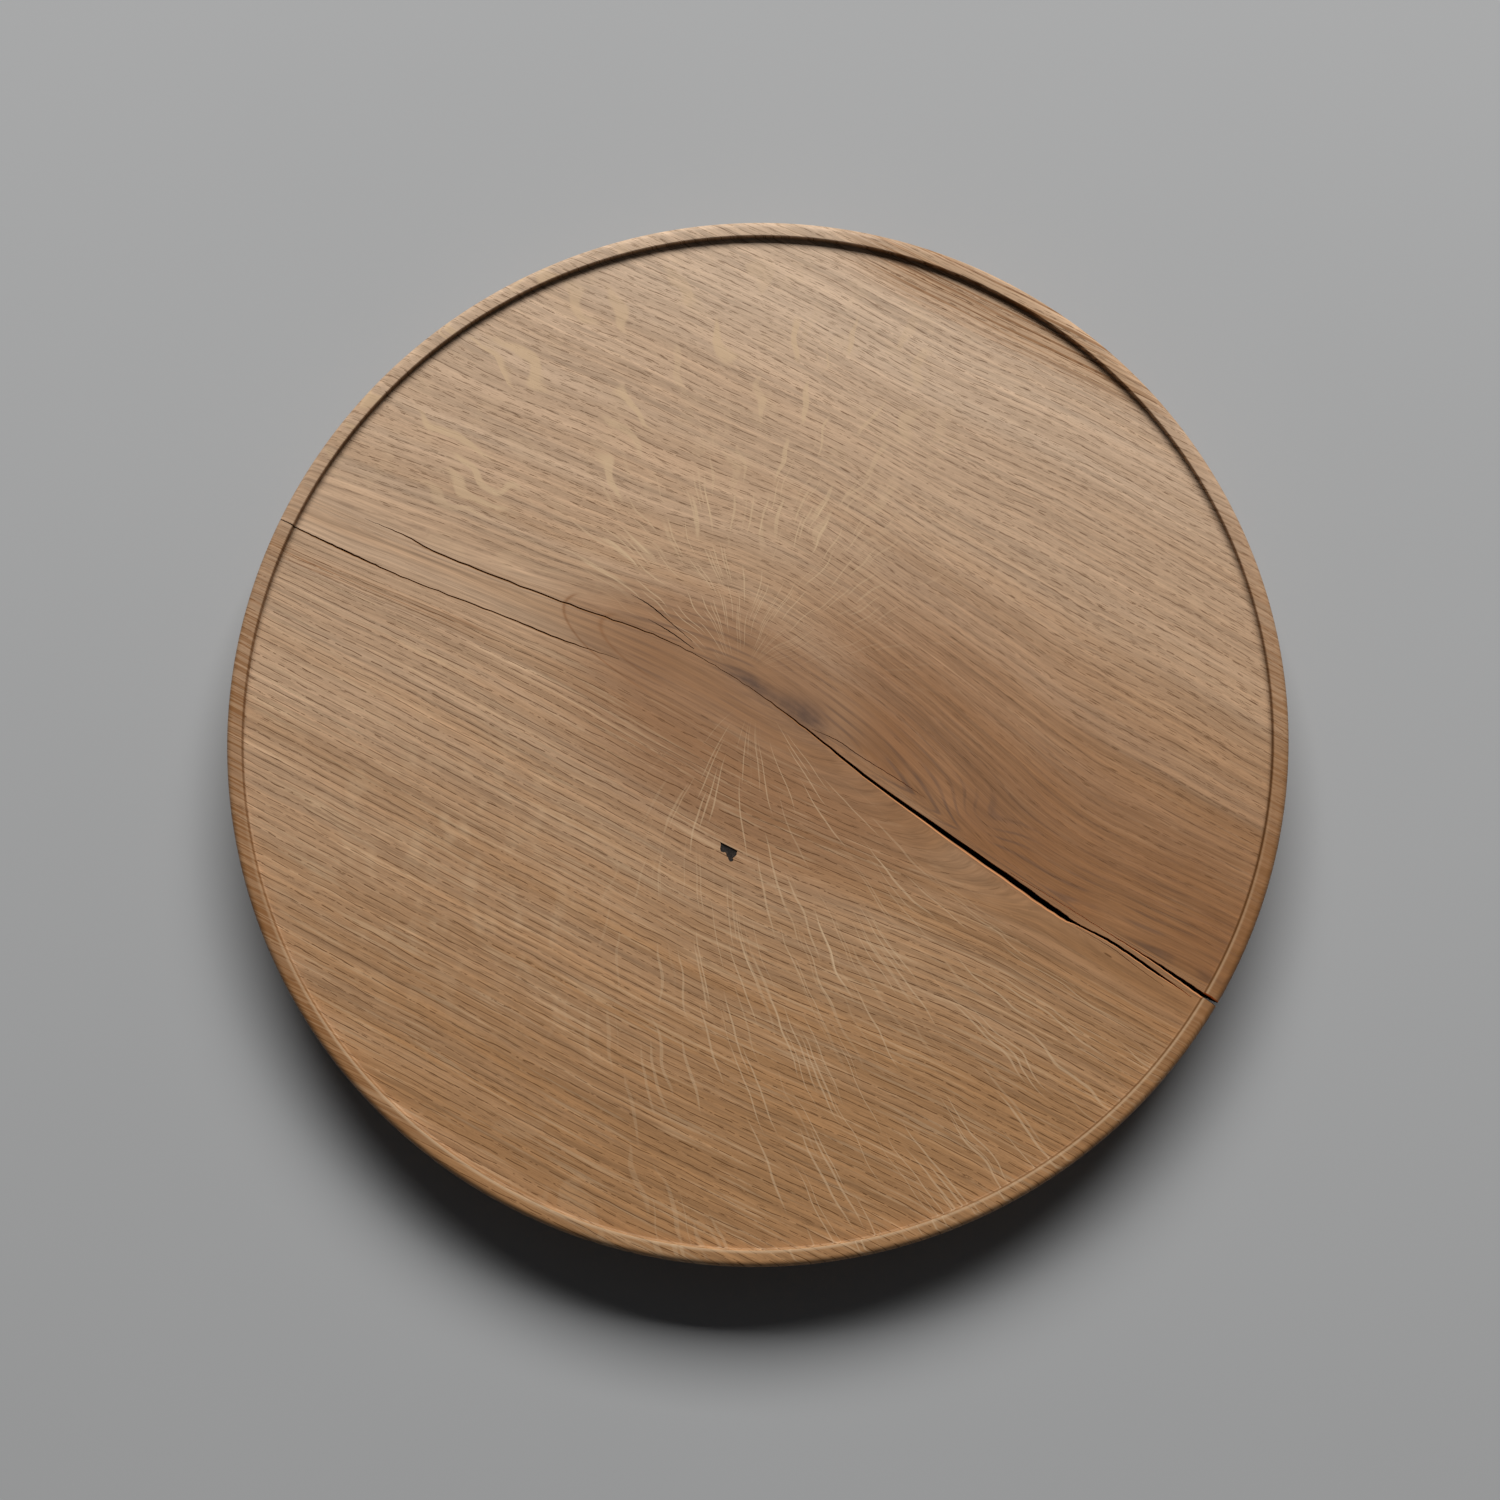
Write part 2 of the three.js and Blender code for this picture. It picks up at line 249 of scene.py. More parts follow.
class Wire:
    """A shader value: an output socket whose arithmetic adds Math nodes to its tree."""

    def __init__(self, socket):
        self.socket = socket

    def node(self, kind, settings=None, inputs=None, output=0):
        """Adds a node of this kind: its settings are set first, then its sockets are filled or linked."""
        tree = self.socket.id_data
        made = tree.nodes.new(kind)
        for name, value in (settings or {}).items():
            setattr(made, name, value)
        for key, value in (inputs or {}).items():
            if isinstance(value, Wire):
                tree.links.new(value.socket, made.inputs[key])
            else:
                made.inputs[key].default_value = value
        return Wire(made.outputs[output])

    def math(self, operation, *others):
        """A Math node on this value and the others."""
        return self.node("ShaderNodeMath", {"operation": operation}, dict(enumerate((self, *others))))

    def __add__(self, other):
        return self.math("ADD", other)

    __radd__ = __add__

    def __sub__(self, other):
        return self.math("SUBTRACT", other)

    def __rsub__(self, other):
        return (self * -1) + other

    def __mul__(self, other):
        return self.math("MULTIPLY", other)

    def __truediv__(self, other):
        return self.math("DIVIDE", other)

    def __abs__(self):
        return self.math("ABSOLUTE")

    def __pow__(self, power):
        return self.math("POWER", power)

    def rise(self, low, high):
        """Smooth step from 0 at low to 1 at high; low may be the larger."""
        return self.node(
            "ShaderNodeMapRange", {"interpolation_type": "SMOOTHSTEP"},
            {"Value": self, "From Min": low, "From Max": high})

    def bell(self, middle, width):
        """Bell curve round a middle value."""
        away = (self - middle) / width
        return (away * away * -1).math("EXPONENT")

    def mix(self, first, second):
        """Colour between two others, by this value."""
        return self.node("ShaderNodeMix", {"data_type": "RGBA"}, {0: self, 6: first, 7: second}, 2)

    def with_axes(self, second, third):
        """Vector of three values."""
        return self.node("ShaderNodeCombineXYZ", None, {0: self, 1: second, 2: third})

    def noise(self, scale, detail=2.0, roughness=0.5):
        """Cloudy noise on this vector, 0 to 1."""
        return self.node(
            "ShaderNodeTexNoise", None,
            {"Vector": self, "Scale": scale, "Detail": detail, "Roughness": roughness})

    def cells(self, output):
        """Scattered cells on this vector: output 0 is the distance, output 1 a colour for each cell."""
        return self.node("ShaderNodeTexVoronoi", {"feature": "F1"}, {"Vector": self, "Scale": 1.0}, output)

    def axis(self, index):
        """One coordinate of this vector."""
        return self.node("ShaderNodeSeparateXYZ", None, {0: self}, index)


def new_material(name):
    """An empty node material, its shader and the piece's own coordinates in metres."""
    material = bpy.data.materials.new(name)
    material.use_nodes = True
    nodes = material.node_tree.nodes
    shader = nodes["Principled BSDF"]
    place = Wire(nodes.new("ShaderNodeTexCoord").outputs["Object"])
    return material, shader, place


def wire_up(shader, **inputs):
    """Links or sets the sockets of the Principled shader; underscores in the names stand for spaces."""
    for name, value in inputs.items():
        socket = shader.inputs[name.replace("_", " ")]
        if isinstance(value, Wire):
            shader.id_data.links.new(value.socket, socket)
        else:
            socket.default_value = value


def in_millimetres(place, origin, turn):
    """Coordinates in millimetres about an origin, turned about Z so that X lies along the grain."""
    scale = 1 / MILLIMETRE
    moved = Matrix.Rotation(-turn, 3, "Z") @ (Vector(origin) * -scale)
    return place.node(
        "ShaderNodeMapping", {"vector_type": "POINT"},
        {"Vector": place, "Location": moved, "Rotation": (0, 0, -turn), "Scale": (scale,) * 3})


def oak_material(shape, finish):
    """Solid oak cut through the heart of the tree: growth rings, rays that fan from the heart, and pores."""
    material, shader, place = new_material("oak")
    spot = in_millimetres(place, HEART_PLACE + (shape.floor,), finish.grain_angle)
    along, across, height = (spot.axis(index) for index in range(3))

    # The heart's line bows across the floor and dives under it; the wood wanders a little round it
    bow = 1 - (((along + 20) / 110) ** 2 * -1).math("EXPONENT")
    course = bow * (15.6 + along.rise(-60, 40) * 9)
    south = (across + course).rise(4, -4)
    north = 1 - south
    near = north * across.bell(0, 80) + south * (across + course).bell(0, 25)
    wander = spot.noise(0.012, 0.0) - 0.5
    ripple = spot.noise(0.05, 0.0) - 0.5
    side = across + course * near + wander * (4 + across.bell(0, 60) * 6) + ripple * 0.6
    dive = (along * (finish.pith_slope / finish.pith_depth)).math("TANH") * finish.pith_depth
    rise = dive * north + along.rise(-20, 140) * south * 38 + height + wander * 3
    radius = (side * side + rise * rise).math("SQRT")
    turn = side.math("ARCTAN2", rise)
    lane = along + south * 700

    # Growth rings, brown and close-grained round the heart
    swirl = along.bell(97, 13) * across.bell(-4, 8)
    uneven = (radius / 8).with_axes(turn * 0.3, south * 5).noise(1.0, 0.0) - 0.5
    ring = radius / finish.ring_pitch + (spot.noise(0.012, 0.0) - 0.5) * 2 + uneven * 0.9 + swirl * 2.6
    number = ring.math("FLOOR")
    within = ring - number
    north_heart = side.rise(-4, 4) * side.rise(95, 15) * along.rise(-30, 60)
    south_heart = side.rise(4, -4) * side.rise(-60, -5) * (along.rise(30, 110) + along.bell(-25, 35)) * 0.5
    heart_zone = (north_heart + south_heart) * (0.75 + spot.noise(0.03, 2.0) * 0.5)
    deep = side / (28 + south * 38)
    round_heart = (deep * deep + ((along + 5 - south * 17) / (80 + south * 15)) ** 2).rise(1.4, 0.2)
    by_split = south * (across + course).rise(-24, -6)
    open_wood = radius.rise(6, 28) * (1 - heart_zone * 0.65) * (1 - by_split * 0.8)

    # Rays fan out from the heart in thin wavy blades, broader and more broken further out
    bend = north * 10 - south * side * side * 0.0048
    spread = ((along + bend) / 150).math("TANH") * 150 + height * 5
    reach = (side * side + spread * spread).math("SQRT")
    sway = (spot.noise(0.03, 1.0) - 0.5) * (11 + north * 2) / (reach + 25)
    wave = (spot.noise(0.07, 0.5) - 0.5) * (6 + north * 7) / (reach + 60)
    fan = side.math("ARCTAN2", spread) + sway + wave
    leaf = dashes(reach, fan + wave * 0.6, 42, 0.075, 0.25, 0.0, 0.2)
    blade = dashes(reach, fan, 40, 0.03, 0.24, 0.0, 0.15)
    thread = dashes(reach, fan, 80, 0.05, 0.19, 0.0, 0.2)
    hair = dashes(reach, fan, 58, 0.022, 0.23, 0.0, 0.3)
    north_ray = blade * reach.rise(7, 14) * reach.rise(115, 60) * fan.rise(0.3, 1.9) * 0.8
    north_ray = north_ray + leaf * reach.rise(45, 70) * reach.rise(175, 130) * fan.rise(1.0, 2.0)
    north_ray = north_ray * fan.rise(3.08, 2.85)
    south_ray = thread * reach.rise(8, 20) * reach.rise(130, 80) + hair * reach.rise(50, 95)
    south_ray = south_ray * fan.rise(-2.3, -1.7) * fan.rise(-0.1, -0.45)
    warp = (spot.noise(0.2, 1.0) - 0.5) * 12
    fleck = (along + warp).with_axes(across - warp, height).noise(0.085, 0.0).rise(0.63, 0.71)
    pale_fleck = fleck * north * reach.rise(45, 80) * (1 - heart_zone) * along.rise(40, -20)

    # Silver figure: pale patches across the grain, west of the knot
    patch = (along / 9 + across / 30).with_axes(across / 12, height / 20).noise(1.0, 1.5).rise(0.48, 0.7)
    figure = patch * south * along.bell(-70, 60) * across.bell(-110, 45)

    # Pores stand in broken rows, one to each ring, with short dashes between the rows
    beat = (lane / 5).with_axes(number * 7.31, turn).noise(1.0, 2.0, 0.6)
    kink = (lane / 12).with_axes(number * 3.77, 5.0).noise(1.0, 1.0) - 0.5
    row = abs(within - 0.3 - kink * 0.4).rise(0.075, 0.02) * (beat + south * 0.05).rise(0.45, 0.53)
    early = abs(within - 0.3).rise(0.35, 0.15)
    open_wood = open_wood * (1 - fleck * 0.2 - figure * 0.35)
    pore = dashes(lane, radius, 6.6, 0.32, 0.35, early * 0.15 + open_wood * (0.26 - south * 0.1), 1.0)
    speck = dashes(lane, radius, 2.4, 0.24, 0.4, open_wood * 0.35, 0.9)
    row = row * open_wood * (0.8 + south * 0.2)
    gleam = (lane / 40).with_axes(radius / 1.3, turn * 3).noise(1.0, 1.0).rise(0.55, 0.72) * open_wood
    pore = pore * radius.rise(4, 16)
    fibre = (lane / 12).with_axes(radius / 0.28, turn * 4).noise(1.0, 2.0) - 0.5
    streak = (lane / 110).with_axes(radius / 1.6, turn * 2).noise(1.0, 2.0) - 0.5
    band = (lane / 300).with_axes(radius / 7, turn).noise(1.0, 1.0) - 0.5

    # Base colour, from tan to pale, with the brown heart; the wood runs paler towards the far side, partly
    # its own tone and partly a painted sheen of the window
    tone = 0.42 + across * 0.0026 - along * 0.0014 + across * across * 5e-6 + band * 0.5
    tone = tone + along.rise(-90, -180) * 0.02 - across.bell(50, 45) * 0.06 - along.bell(-75, 45) * 0.04
    tone = tone - across.rise(-105, -160) * 0.07
    colour = tone.mix(finish.tan, finish.pale)
    colour = (heart_zone * 0.8).math("MAXIMUM", round_heart * (0.62 + south * 0.02)).mix(colour, finish.heart)

    # Streaks by the far rim, in the heart and by the west rim
    west_zone = along.rise(-85, -125) * side.bell(-29, 5)
    north_zone = across.rise(160, 171) * along.rise(-70, -20) * along.rise(115, 60)
    colour = (north_zone * 0.4).mix(colour, finish.gold)
    coarse = (lane / 90).with_axes(radius / 0.8, turn * 3).noise(1.0, 1.0).rise(0.48, 0.62)
    colour = ((north_zone + heart_zone * 0.3) * coarse * 0.85).mix(colour, finish.streak)
    thin = (lane / 70).with_axes(radius / 1.5, 3.0).noise(1.0, 0.0)
    colour = (west_zone * abs(thin - 0.5).rise(0.09, 0.02) * 0.75).mix(colour, finish.heart)

    # Ring lines round the heart, the lobe west of it and the smoky stain beside it
    ring_line = abs(within - 0.3).rise(0.22, 0.05)
    faint = spot.noise(0.05, 2.0).rise(0.35, 0.6) * (0.36 - south * 0.18 + along.bell(-35, 35) * 0.16)
    ring_stain = ring_line * (heart_zone * 0.6 + radius.rise(30, 8)) * faint
    ring_stain = ring_stain + (ring_line * 0.14 + 0.16) * swirl
    colour = ring_stain.mix(colour, finish.stain)
    lobe = ((across + 4 + wander * 5) / 16) ** 2 + ((along + 35 + ripple * 4) / 47) ** 2
    lobe_line = lobe.bell(1, 0.035) * 0.6 + lobe.bell(0.45, 0.03) * 0.4 + lobe.rise(1.05, 0.9) * 0.15
    colour = (lobe_line * along.rise(-26, -46) * across.rise(2, -1)).mix(colour, finish.heart)
    smoke = along.bell(19, 11) * side.bell(2.5, 5) + along.bell(-4, 12) * side.bell(1.5, 2.5)
    colour = (smoke * (0.4 + spot.noise(0.15, 2.0) * 0.9)).mix(colour, finish.stain)

    # Gleam, figure, fibres, pores and rays over all of it
    colour = (gleam * (0.12 + south * 0.2) + figure * 0.32).mix(colour, finish.ray)
    dark_band = (lane / 160).with_axes(radius / 3.5, turn).noise(1.0, 1.0) - 0.5
    shade = 1 + (fibre * 0.7 + streak * 0.9 + dark_band * south * 0.5) * (1 - round_heart * 0.4)
    colour = colour.node("ShaderNodeVectorMath", {"operation": "SCALE"}, {0: colour, "Scale": shade})
    colour = (speck * 0.16).mix(colour, finish.pore)
    colour = (pore * (0.74 + south * 0.06)).mix(colour, finish.pore)
    colour = (row * (0.76 + south * 0.06)).mix(colour, finish.pore)
    ray = north_ray * 1.2 + south_ray * 0.8 + pale_fleck * 0.2
    colour = (ray * 0.62).mix(colour, finish.ray)

    # Rim darkened towards streak brown at its east and west sides, a painted highlight along the rim's inner
    # edge on the front half, and painted shade in the corner at the rim's foot and on the far inner wall
    edge = (place.axis(0) ** 2 + place.axis(1) ** 2).math("SQRT")
    rim_start = shape.radius - shape.rim_width
    # The rim darkens towards the streak brown at its east and west sides, more at the west
    dark_rim_sides = edge.rise(rim_start - 0.0005, rim_start) * place.axis(1).rise(0.15, -0.02)
    dark_rim_sides = dark_rim_sides * (place.axis(0).rise(0.06, 0.17) * 0.55 + place.axis(0).rise(-0.06, -0.17) * 0.75)
    colour = (dark_rim_sides * (0.65 + coarse * 0.8)).mix(colour, finish.streak)
    on_top = place.axis(2).rise(shape.floor - 0.002, shape.floor - 0.001)
    # Painted highlight: a pale line along the rim's inner edge on the front half, where the window's light
    # catches it
    painted_edge_light = edge.bell(rim_start + 0.0006, 0.0005) * place.axis(1).rise(0, -0.14) * on_top
    colour = (painted_edge_light * 0.55).mix(colour, finish.ray)
    # Painted shade: a dark line in the corner at the rim's foot on the east front, and a darker far inner
    # wall below the rim
    foot_shade = place.axis(1).rise(0.06, -0.04) * place.axis(0).rise(0.02, 0.1) * 0.6
    inner_wall_shade = place.axis(1).rise(0.02, 0.12) * place.axis(0).rise(0.15, 0.04)
    inner_wall_shade = inner_wall_shade * place.axis(2).rise(shape.rim_top - 0.0004, shape.rim_top - 0.001)
    corner_shade = edge.bell(rim_start - 0.0001, 0.0004) * (foot_shade + inner_wall_shade * 0.6)
    colour = (corner_shade * on_top).mix(colour, finish.pore)

    relief = 0.5 - pore * 0.2 - row * 0.25 + fibre * 0.25
    bump = relief.node("ShaderNodeBump", None, {"Strength": 0.35, "Distance": 0.00025, "Height": relief})
    roughness = 0.5 + pore * 0.2 - ray * 0.08 + fibre * 0.1
    wire_up(shader, Base_Color=colour, Roughness=roughness, Normal=bump, IOR=1.45, Specular_IOR_Level=0.25)
    return material


def dashes(lane, layer, length, width, size, favour, limit):
    """Spindle-shaped marks, one in each cell of length by width, where chance plus favour pass a limit."""
    row = layer / width
    number = row.math("FLOOR")
    shift = number.node("ShaderNodeTexWhiteNoise", {"noise_dimensions": "1D"}, {"W": number})
    cell = (lane / length + shift * 9).with_axes(row, 0)
    settings = {"feature": "F1", "voronoi_dimensions": "2D"}
    inputs = {"Vector": cell, "Scale": 1.0, "Randomness": 0.65}
    distance = cell.node("ShaderNodeTexVoronoi", settings, inputs, 0)
    chance = cell.node("ShaderNodeTexVoronoi", settings, inputs, 1)
    return distance.rise(size, size * 0.55) * (chance.axis(0) + favour).rise(limit, limit + 0.2)


def split_wall_material(finish):
    """Torn wood on the walls of the split, fibrous, with painted shade that darkens it with depth and a paler
    top; the east lip is partly the torn wood and partly a painted highlight.
    """
    material, shader, place = new_material("split_wall")
    spot = in_millimetres(place, (0, 0, FLOOR_HEIGHT), finish.grain_angle)
    fibre = (spot.axis(0) / 14).with_axes(spot.axis(1) / 2, spot.axis(2) / 0.5).noise(1.0, 3.0)
    depth = spot.axis(2).rise(-0.6, -0.05)
    east = place.axis(0).rise(-0.01, 0.07)
    # East walls: painted shade, near black deeper down, rising to the lip colour at the top
    painted_edge_light = (depth * (0.5 + fibre)).mix((0.003, 0.002, 0.0015, 1), finish.lip)
    # West walls: painted shade, a darker brown deeper down
    closed = depth.mix((0.04, 0.020, 0.010, 1), finish.streak)
    colour = east.mix(closed, painted_edge_light)
    wire_up(shader, Base_Color=colour, Roughness=0.9, Specular_IOR_Level=0.0)
    return material


def key_material(finish, name, centre, angle):
    """Oak of a butterfly key, a shade darker than the tray, with its grain along the key."""
    material, shader, place = new_material("key_oak_" + name)
    spot = in_millimetres(place, centre, angle)
    along, across, height = (spot.axis(index) for index in range(3))
    layer = across + height * 0.6 + (spot.noise(0.05) - 0.5) * 3
    fibre = (along / 24).with_axes(layer / 0.4, height).noise(1.0, 2.0)
    pore_place = (along / 6).with_axes(layer / 0.9, height)
    pore = pore_place.cells(0).rise(0.42, 0.18) * pore_place.cells(1).axis(0).rise(0.45, 0.75)
    ring = (layer / 3.1).math("FRACT").rise(0.2, 0.95)
    colour = (fibre * 0.5 + ring * 0.35).mix(finish.tan, finish.heart)
    colour = (pore * 0.75).mix(colour, finish.pore)
    relief = 0.5 - pore * 0.5
    bump = place.node("ShaderNodeBump", None, {"Strength": 0.3, "Distance": 0.0002, "Height": relief})
    wire_up(shader, Base_Color=colour, Roughness=0.55 + pore * 0.2, Normal=bump, Specular_IOR_Level=0.4)
    return material


def filler_material():
    """Dark knot filling, rubbed back: near black with brown flecks."""
    material, shader, place = new_material("knot_filler")
    spot = in_millimetres(place, (0, 0, 0), 0)
    fleck = spot.noise(1.6, 4.0, 0.65)
    colour = fleck.rise(0.42, 0.75).mix((0.012, 0.010, 0.009, 1), (0.05, 0.036, 0.028, 1))
    bump = place.node("ShaderNodeBump", None, {"Strength": 0.6, "Distance": 0.0003, "Height": fleck})
    wire_up(shader, Base_Color=colour, Roughness=0.6 + fleck * 0.3, Normal=bump, Specular_IOR_Level=0.25)
    return material


def rubber_material():
    """Moulded black rubber with a fine dusty bloom."""
    material, shader, place = new_material("foot_rubber")
    spot = in_millimetres(place, (0, 0, 0), 0)
    grain = spot.noise(3.0, 3.0)
    bloom = spot.noise(0.25, 3.0).rise(0.45, 0.8)
    colour = bloom.mix((0.014, 0.014, 0.015, 1), (0.045, 0.044, 0.042, 1))
    bump = place.node("ShaderNodeBump", None, {"Strength": 0.25, "Distance": 0.0001, "Height": grain})
    wire_up(shader, Base_Color=colour, Roughness=0.68 + bloom * 0.2, Normal=bump, Specular_IOR_Level=0.35)
    return material


def steel_material():
    """Zinc-plated steel with a fine rolled grain."""
    material, shader, place = new_material("hardware_steel")
    spot = in_millimetres(place, (0, 0, 0), 0)
    grain = (spot.axis(0) / 3).with_axes(spot.axis(1) / 0.12, spot.axis(2) / 0.12).noise(1.0, 2.0)
    cloud = spot.noise(0.6, 3.0)
    colour = cloud.mix((0.40, 0.41, 0.42, 1), (0.60, 0.60, 0.59, 1))
    wire_up(shader, Base_Color=colour, Roughness=0.24 + grain * 0.22, Metallic=1.0)
    return material


def stage_material(look):
    """Plain pale floor with a faint cloudiness."""
    material, shader, place = new_material("stage_floor")
    cloud = place.noise(3.0, 4.0)
    darker = tuple(0.93 * channel for channel in look.floor_colour[:3]) + (1,)
    wire_up(shader, Base_Color=cloud.mix(darker, tuple(look.floor_colour)), Roughness=0.85)
    return material


# Mesh helpers

def mesh_object(name, bm, *materials):
    """Turns a bmesh into an object of the scene."""
    mesh = bpy.data.meshes.new(name)
    bm.to_mesh(mesh)
    bm.free()
    for material in materials:
        mesh.materials.append(material)
    made = bpy.data.objects.new(name, mesh)
    bpy.context.collection.objects.link(made)
    return made


def keep_piece(made, slot, *nodes):
    """Hands a finished piece to the frame: it rides on the tray and stands for these nodes."""
    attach(made, BODY)
    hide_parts(*nodes)


def soften(made, angle):
    """Smooth shading, with edges sharper than the angle in degrees kept crisp."""
    bm = bmesh.new()
    bm.from_mesh(made.data)
    for face in bm.faces:
        face.smooth = True
    for edge in bm.edges:
        edge.smooth = edge.calc_face_angle(0) < math.radians(angle)
    bm.to_mesh(made.data)
    bm.free()


def round_corner(bm, corner, offset, segments):
    """Rounds one corner of a flat section."""
    bmesh.ops.bevel(
        bm, geom=[corner], offset=offset, offset_type="OFFSET", segments=segments, profile=0.5,
        affect="VERTICES", material=-1, clamp_overlap=True)


def spin_section(bm, steps):
    """Turns a section's outline about the Z axis into a closed body; sides on the axis are left out."""
    bmesh.ops.delete(bm, geom=bm.faces[:], context="FACES_ONLY")
    on_axis = [e for e in bm.edges if all(abs(v.co.x) < TINY for v in e.verts)]
    bmesh.ops.delete(bm, geom=on_axis, context="EDGES")
    bmesh.ops.spin(
        bm, geom=bm.verts[:] + bm.edges[:], cent=(0, 0, 0), axis=(0, 0, 1), angle=FULL_TURN, steps=steps,
        use_merge=True)
    bmesh.ops.remove_doubles(bm, verts=bm.verts, dist=TINY)
    bmesh.ops.recalc_face_normals(bm, faces=bm.faces)


def section(bm, corners):
    """A flat section of (radius, height) corners; returns the corners."""
    verts = [bm.verts.new((radius, 0, height)) for radius, height in corners]
    bm.faces.new(verts)
    return verts


def weld(mesh):
    """Joins the corners of a closed mesh that lie on one spot; returns its volume."""
    bm = bmesh.new()
    bm.from_mesh(mesh)
    bmesh.ops.remove_doubles(bm, verts=bm.verts, dist=TINY)
    bmesh.ops.dissolve_degenerate(bm, edges=bm.edges, dist=TINY)
    volume = bm.calc_volume()
    bm.to_mesh(mesh)
    bm.free()
    return volume


def carve(target, cutters):
    """Cuts the cutters out of the target, with the cutters' materials on the new walls, and removes them."""
    for cutter in cutters:
        cut = target.modifiers.new(cutter.name, "BOOLEAN")
        cut.operation = "DIFFERENCE"
        cut.solver = "EXACT"
        cut.material_mode = "TRANSFER"
        cut.object = cutter
    carved = bpy.data.meshes.new_from_object(target.evaluated_get(bpy.context.evaluated_depsgraph_get()))
    target.modifiers.clear()
    if weld(carved) < 0.8 * weld(target.data):
        raise RuntimeError("Cutting %s took away too much of it" % target.name)
    target.data = carved
    for cutter in cutters:
        bpy.data.meshes.remove(cutter.data)


def frame_copy(node):
    """A bmesh of a CAD node, with its triangles merged back into flat faces."""
    bm = bmesh.new()
    bm.from_mesh(frame["nodes"][node].data)
    bmesh.ops.remove_doubles(bm, verts=bm.verts, dist=TINY)
    bmesh.ops.dissolve_limit(bm, angle_limit=math.radians(1), verts=bm.verts, edges=bm.edges)
    return bm


def middle_of(node):
    """Middle of a CAD node's box."""
    low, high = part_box(node)
    return (low + high) / 2


def smooth_course(course, steps):
    """Points on a smooth curve through a split's course, with steps in each span."""
    places = [Vector(point) for point in course]
    places = [2 * places[0] - places[1], *places, 2 * places[-1] - places[-2]]
    points = []
    for a, b, c, d in zip(places, places[1:], places[2:], places[3:]):
        for step in range(steps):
            t = step / steps
            points.append(b + 0.5 * t * (c - a + t * (2 * a - 5 * b + 4 * c - d + t * (3 * (b - c) + d - a))))
    return points + [places[-2]]


def split_cutter(name, course, shape, levels, material):
    """The wood missing along a split: a strip raised through levels of (height, share of gap, wear)."""
    bm = bmesh.new()
    step_layer = bm.verts.layers.int.new("step")
    side_layer = bm.verts.layers.int.new("side")
    points = smooth_course(course, SPLIT_STEPS)

    def edge_place(step, side, height, share, extra):
        # Both sides wobble, wide gaps have worn lips, and thin ones stray sideways and close with depth
        before, after = points[max(step - 1, 0)], points[min(step + 1, len(points) - 1)]
        heading = (after - before).to_2d().normalized()
        wobble = 0.09 * math.sin(step * 1.7 + side) + 0.07 * math.sin(step * 0.61 - side * 2)
        gap = max(points[step].z, LEAST_GAP)
        wear = extra * min(max(gap - 0.4, 0) / 1.1, 1) * (2.3 if side * heading.x < 0 else 0.5)
        calm = max(0, 1 - gap / 1.2)
        stride = (after - before).to_2d().length * shape.radius
        stray = (0.03 * math.sin(step * 1.9) + 0.022 * math.sin(step * 3.1 + 0.7)) * calm * stride
        narrowed = max(share ** (1 + max(0, 1 - gap / 0.8) * 42), 0.12)
        reach = side * (gap * (1 + wobble) * narrowed / 2 * MILLIMETRE + wear) + stray
        middle = points[step].to_2d() * shape.radius
        return middle.x - heading.y * reach, middle.y + heading.x * reach, height

    chain = []
    for step in range(len(points)):
        corner = bm.verts.new(edge_place(step, 1, *levels[0]))
        corner[step_layer], corner[side_layer] = step, 1
        chain.append(corner)
    edges = [bm.edges.new(pair) for pair in zip(chain, chain[1:])]
    strip = bmesh.ops.extrude_edge_only(bm, edges=edges)["geom"]
    for corner in (v for v in strip if isinstance(v, bmesh.types.BMVert)):
        corner[side_layer] = -1
        corner.co = edge_place(corner[step_layer], -1, *levels[0])
    top, inner = bm.faces[:], []
    for level in levels[1:]:
        raised = bmesh.ops.extrude_face_region(bm, geom=top, use_keep_orig=True)["geom"]
        inner.append(top)
        top = [f for f in raised if isinstance(f, bmesh.types.BMFace)]
        for corner in (v for v in raised if isinstance(v, bmesh.types.BMVert)):
            corner.co = edge_place(corner[step_layer], corner[side_layer], *level)
    bmesh.ops.delete(bm, geom=[f for faces in inner[1:] for f in faces], context="FACES")
    bmesh.ops.recalc_face_normals(bm, faces=bm.faces)
    return mesh_object(name, bm, material)


def grown(bm, distance):
    """Moves every corner of a prism outwards, so that its faces move by about a distance."""
    bm.normal_update()
    for corner in bm.verts:
        corner.co += corner.normal * distance * math.sqrt(3)
    return bm


# Pieces

